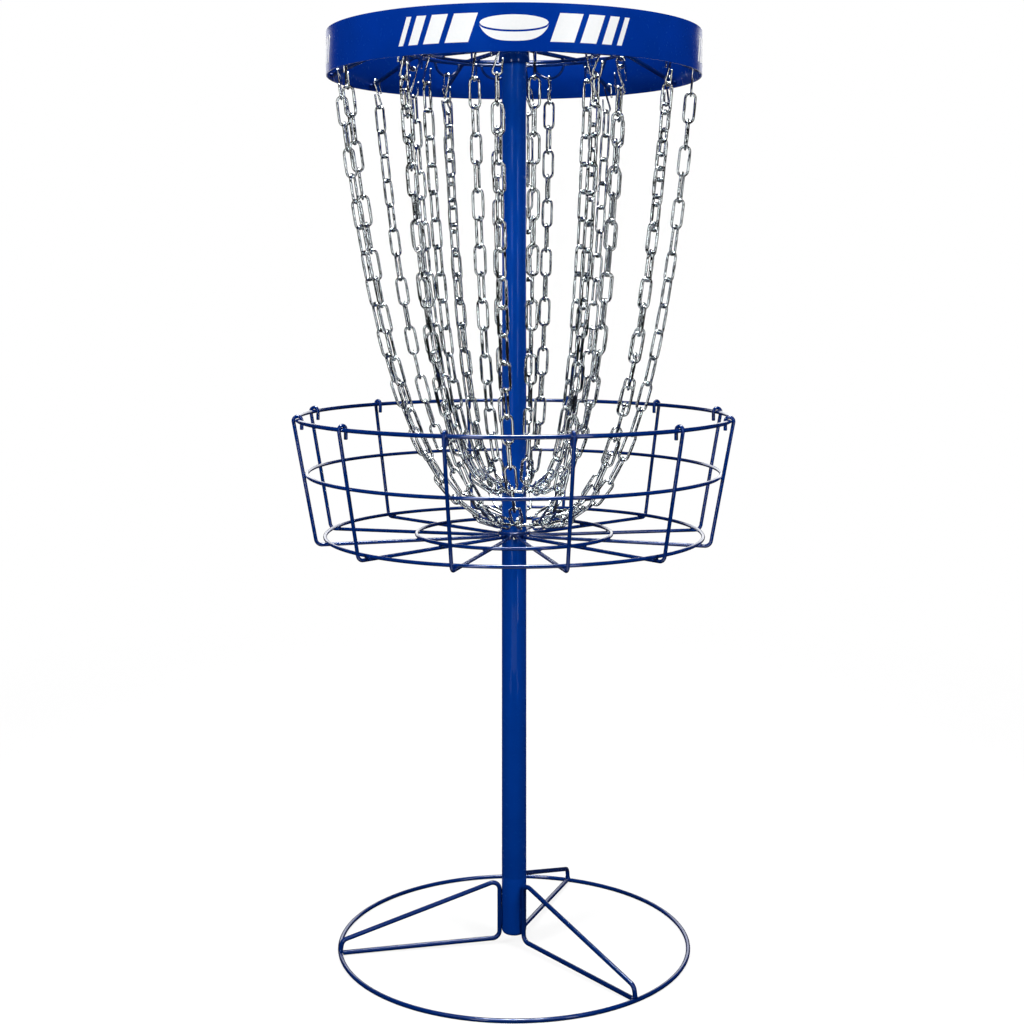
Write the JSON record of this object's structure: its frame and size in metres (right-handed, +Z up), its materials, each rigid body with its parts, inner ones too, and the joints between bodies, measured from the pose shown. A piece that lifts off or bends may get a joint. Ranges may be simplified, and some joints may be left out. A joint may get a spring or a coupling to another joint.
{
  "type": "disc golf basket",
  "caption": "Portable disc golf basket: wire base ring and legs, two-piece pole, turning wire catching basket, target band and two tiers of hanging chain strands.",
  "frame": {"origin": "on the floor, on the axis of the pole, at the centre of the base ring", "axes": "+Z up along the pole, -Y towards the front"},
  "size_m": [0.677, 0.677, 1.412],
  "materials": {
    "frame_paint": "gloss blue powder coat",
    "band_paint": "gloss royal blue",
    "bright_zinc": "bright zinc plate",
    "black_plastic": "matte"
  },
  "bodies": {
    "base": {"base_ring": "frame_paint", "base_leg_1": "frame_paint", "base_leg_2": "frame_paint", "base_leg_3": "frame_paint", "base_socket": "frame_paint"},
    "lower_pole": {"lower_pole": "frame_paint"},
    "snap_button": {"snap_button": "bright_zinc", "button_spring": "bright_zinc"},
    "basket": {"rim_ring": "frame_paint", "middle_ring": "frame_paint", "floor_outer_ring": "frame_paint", "floor_inner_ring": "frame_paint", "basket_hub": "frame_paint", "basket_rib_1": "frame_paint", "basket_rib_2": "frame_paint", "basket_rib_3": "frame_paint", "basket_rib_4": "frame_paint", "basket_rib_5": "frame_paint", "basket_rib_6": "frame_paint", "basket_rib_7": "frame_paint", "basket_rib_8": "frame_paint", "basket_rib_9": "frame_paint", "basket_rib_10": "frame_paint", "basket_rib_11": "frame_paint", "basket_rib_12": "frame_paint"},
    "mast": {"upper_pole": "frame_paint", "pole_cap": "black_plastic", "chain_support": "frame_paint", "spoke_ring": "frame_paint", "hook_ring": "frame_paint", "target_band": "band_paint", "outer_chain_ring": "bright_zinc", "inner_chain_ring": "bright_zinc"},
    "outer_strand_1": {"outer_strand_1": "bright_zinc"},
    "outer_strand_2": {"outer_strand_2": "bright_zinc"},
    "outer_strand_3": {"outer_strand_3": "bright_zinc"},
    "outer_strand_4": {"outer_strand_4": "bright_zinc"},
    "outer_strand_5": {"outer_strand_5": "bright_zinc"},
    "outer_strand_6": {"outer_strand_6": "bright_zinc"},
    "outer_strand_7": {"outer_strand_7": "bright_zinc"},
    "outer_strand_8": {"outer_strand_8": "bright_zinc"},
    "outer_strand_9": {"outer_strand_9": "bright_zinc"},
    "outer_strand_10": {"outer_strand_10": "bright_zinc"},
    "outer_strand_11": {"outer_strand_11": "bright_zinc"},
    "outer_strand_12": {"outer_strand_12": "bright_zinc"},
    "inner_strand_1": {"inner_strand_1": "bright_zinc"},
    "inner_strand_2": {"inner_strand_2": "bright_zinc"},
    "inner_strand_3": {"inner_strand_3": "bright_zinc"},
    "inner_strand_4": {"inner_strand_4": "bright_zinc"},
    "inner_strand_5": {"inner_strand_5": "bright_zinc"},
    "inner_strand_6": {"inner_strand_6": "bright_zinc"},
    "inner_strand_7": {"inner_strand_7": "bright_zinc"},
    "inner_strand_8": {"inner_strand_8": "bright_zinc"},
    "inner_strand_9": {"inner_strand_9": "bright_zinc"},
    "inner_strand_10": {"inner_strand_10": "bright_zinc"},
    "inner_strand_11": {"inner_strand_11": "bright_zinc"},
    "inner_strand_12": {"inner_strand_12": "bright_zinc"}
  },
  "joints": [
    {"name": "lower_pole_lift", "type": "slide", "parent": "base", "child": "lower_pole", "axis": [0, 0, 1], "range_m": [0, 0.09]},
    {"name": "basket_turn", "type": "hinge", "parent": "lower_pole", "child": "basket", "pos_m": [0, 0, 0.639], "axis": [0, 0, 1], "continuous": true},
    {"name": "button_press", "type": "slide", "parent": "lower_pole", "child": "snap_button", "axis": [0, 1, 0], "range_m": [0, 0.0045], "stiffness_N_per_m": 600, "springref_m": -0.004},
    {"name": "mast_lift", "type": "slide", "parent": "lower_pole", "child": "mast", "axis": [0, 0, 1], "range_m": [0, 0.09]},
    {"name": "outer_swing_1", "type": "hinge", "parent": "mast", "child": "outer_strand_1", "pos_m": [0.11707, -0.25105, 1.35719], "axis": [0.1166, -0.2907, 0.9497], "range_deg": [-18, 18]},
    {"name": "outer_swing_2", "type": "hinge", "parent": "mast", "child": "outer_strand_2", "pos_m": [0.22691, -0.15888, 1.35719], "axis": [0.2444, -0.1844, 0.952], "range_deg": [-18, 18]},
    {"name": "outer_swing_3", "type": "hinge", "parent": "mast", "child": "outer_strand_3", "pos_m": [0.27595, -0.02414, 1.35719], "axis": [0.3016, -0.0281, 0.953], "range_deg": [-18, 18]},
    {"name": "outer_swing_4", "type": "hinge", "parent": "mast", "child": "outer_strand_4", "pos_m": [0.25105, 0.11707, 1.35719], "axis": [0.2726, 0.136, 0.9525], "range_deg": [-18, 18]},
    {"name": "outer_swing_5", "type": "hinge", "parent": "mast", "child": "outer_strand_5", "pos_m": [0.15888, 0.22691, 1.35719], "axis": [0.1652, 0.263, 0.9506], "range_deg": [-18, 18]},
    {"name": "outer_swing_6", "type": "hinge", "parent": "mast", "child": "outer_strand_6", "pos_m": [0.02414, 0.27595, 1.35719], "axis": [0.009, 0.3189, 0.9477], "range_deg": [-18, 18]},
    {"name": "outer_swing_7", "type": "hinge", "parent": "mast", "child": "outer_strand_7", "pos_m": [-0.11707, 0.25105, 1.35719], "axis": [-0.1537, 0.2892, 0.9448], "range_deg": [-18, 18]},
    {"name": "outer_swing_8", "type": "hinge", "parent": "mast", "child": "outer_strand_8", "pos_m": [-0.22691, 0.15888, 1.35719], "axis": [-0.2796, 0.1826, 0.9426], "range_deg": [-18, 18]},
    {"name": "outer_swing_9", "type": "hinge", "parent": "mast", "child": "outer_strand_9", "pos_m": [-0.27595, 0.02414, 1.35719], "axis": [-0.3356, 0.0277, 0.9416], "range_deg": [-18, 18]},
    {"name": "outer_swing_10", "type": "hinge", "parent": "mast", "child": "outer_strand_10", "pos_m": [-0.25105, -0.11707, 1.35719], "axis": [-0.3072, -0.1345, 0.9421], "range_deg": [-18, 18]},
    {"name": "outer_swing_11", "type": "hinge", "parent": "mast", "child": "outer_strand_11", "pos_m": [-0.15888, -0.22691, 1.35719], "axis": [-0.2017, -0.2612, 0.944], "range_deg": [-18, 18]},
    {"name": "outer_swing_12", "type": "hinge", "parent": "mast", "child": "outer_strand_12", "pos_m": [-0.02414, -0.27595, 1.35719], "axis": [-0.0468, -0.3186, 0.9468], "range_deg": [-18, 18]},
    {"name": "inner_swing_1", "type": "hinge", "parent": "mast", "child": "inner_strand_1", "pos_m": [0.02987, -0.16939, 1.3647], "axis": [0.0237, -0.1937, 0.9808], "range_deg": [-18, 18]},
    {"name": "inner_swing_2", "type": "hinge", "parent": "mast", "child": "inner_strand_2", "pos_m": [0.11056, -0.13176, 1.3647], "axis": [0.1161, -0.1508, 0.9817], "range_deg": [-18, 18]},
    {"name": "inner_swing_3", "type": "hinge", "parent": "mast", "child": "inner_strand_3", "pos_m": [0.16163, -0.05883, 1.3647], "axis": [0.1747, -0.0674, 0.9823], "range_deg": [-18, 18]},
    {"name": "inner_swing_4", "type": "hinge", "parent": "mast", "child": "inner_strand_4", "pos_m": [0.16939, 0.02987, 1.3647], "axis": [0.1836, 0.0342, 0.9824], "range_deg": [-18, 18]},
    {"name": "inner_swing_5", "type": "hinge", "parent": "mast", "child": "inner_strand_5", "pos_m": [0.13176, 0.11056, 1.3647], "axis": [0.1404, 0.1266, 0.982], "range_deg": [-18, 18]},
    {"name": "inner_swing_6", "type": "hinge", "parent": "mast", "child": "inner_strand_6", "pos_m": [0.05883, 0.16163, 1.3647], "axis": [0.0569, 0.1849, 0.9811], "range_deg": [-18, 18]},
    {"name": "inner_swing_7", "type": "hinge", "parent": "mast", "child": "inner_strand_7", "pos_m": [-0.02987, 0.16939, 1.3647], "axis": [-0.0446, 0.1936, 0.9801], "range_deg": [-18, 18]},
    {"name": "inner_swing_8", "type": "hinge", "parent": "mast", "child": "inner_strand_8", "pos_m": [-0.11056, 0.13176, 1.3647], "axis": [-0.1366, 0.1504, 0.9791], "range_deg": [-18, 18]},
    {"name": "inner_swing_9", "type": "hinge", "parent": "mast", "child": "inner_strand_9", "pos_m": [-0.16163, 0.05883, 1.3647], "axis": [-0.1948, 0.0671, 0.9785], "range_deg": [-18, 18]},
    {"name": "inner_swing_10", "type": "hinge", "parent": "mast", "child": "inner_strand_10", "pos_m": [-0.16939, -0.02987, 1.3647], "axis": [-0.2036, -0.0341, 0.9785], "range_deg": [-18, 18]},
    {"name": "inner_swing_11", "type": "hinge", "parent": "mast", "child": "inner_strand_11", "pos_m": [-0.13176, -0.11056, 1.3647], "axis": [-0.1608, -0.1262, 0.9789], "range_deg": [-18, 18]},
    {"name": "inner_swing_12", "type": "hinge", "parent": "mast", "child": "inner_strand_12", "pos_m": [-0.05883, -0.16163, 1.3647], "axis": [-0.0776, -0.1846, 0.9797], "range_deg": [-18, 18]}
  ]
}
